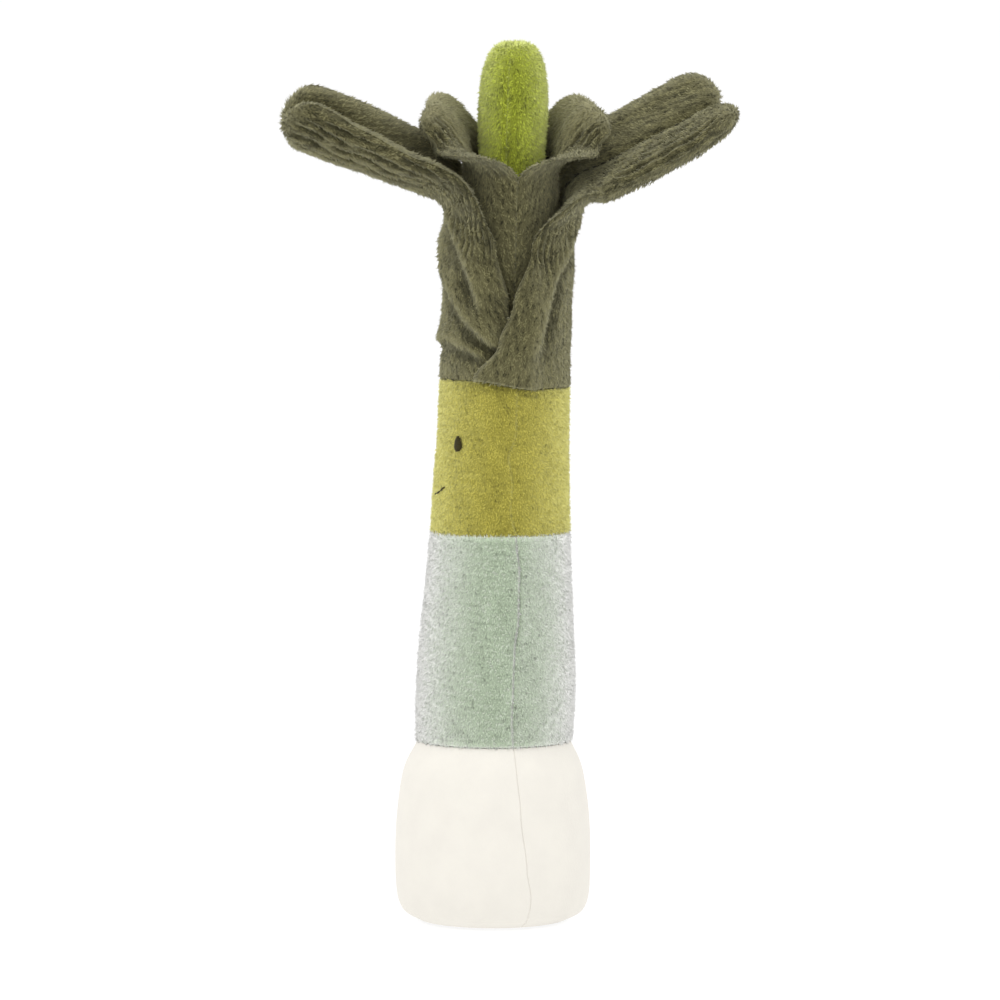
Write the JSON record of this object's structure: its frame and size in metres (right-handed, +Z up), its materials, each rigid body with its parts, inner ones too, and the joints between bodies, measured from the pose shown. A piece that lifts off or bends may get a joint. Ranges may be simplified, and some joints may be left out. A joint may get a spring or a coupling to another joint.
{
  "type": "plush leek toy",
  "caption": "Soft plush leek that stands on a weighted round base, with coloured bands, a stitched face, bending cloth leaves and a bud in the middle.",
  "frame": {"origin": "middle of the flat bottom panel, on the surface the toy stands on", "axes": "+Z up along the stem, the stitched face looks to -Y, the toy's left side is +X"},
  "size_m": [0.0664, 0.1555, 0.3],
  "materials": {
    "white_plush": "short plush pile, warm white",
    "mint_plush": "plush pile, pale mint green",
    "yellow_green_plush": "plush pile, yellow green",
    "leaf_plush": "long brushed plush pile, dark olive green",
    "bud_plush": "plush pile, bright green",
    "face_thread": "embroidery thread, dark olive brown",
    "leaf_thread": "sewing thread, dark green",
    "pouch_cloth": "plain woven lining cloth filled with plastic pellets",
    "fibre_stuffing": "polyester fibre filling"
  },
  "bodies": {
    "root": {"bottom_panel": "white_plush", "base_panel_front": "white_plush", "base_panel_back": "white_plush", "mint_panel_front": "mint_plush", "mint_panel_back": "mint_plush", "face_panel_front": "yellow_green_plush", "face_panel_back": "yellow_green_plush", "pellet_pouch": "pouch_cloth", "stem_stuffing": "fibre_stuffing", "eye_left": "face_thread", "eye_right": "face_thread", "smile": "face_thread", "outer_leaf_back_outside": "leaf_plush", "outer_leaf_back_lining": "leaf_plush", "midrib_stitching_back": "leaf_thread", "outer_leaf_front_outside": "leaf_plush", "outer_leaf_front_lining": "leaf_plush", "midrib_stitching_front": "leaf_thread", "inner_leaf_back_outside": "leaf_plush", "inner_leaf_back_lining": "leaf_plush", "inner_leaf_front_outside": "leaf_plush", "inner_leaf_front_lining": "leaf_plush", "bud_panel_front": "bud_plush", "bud_panel_back": "bud_plush", "bud_stuffing": "fibre_stuffing"}
  },
  "joints": []
}
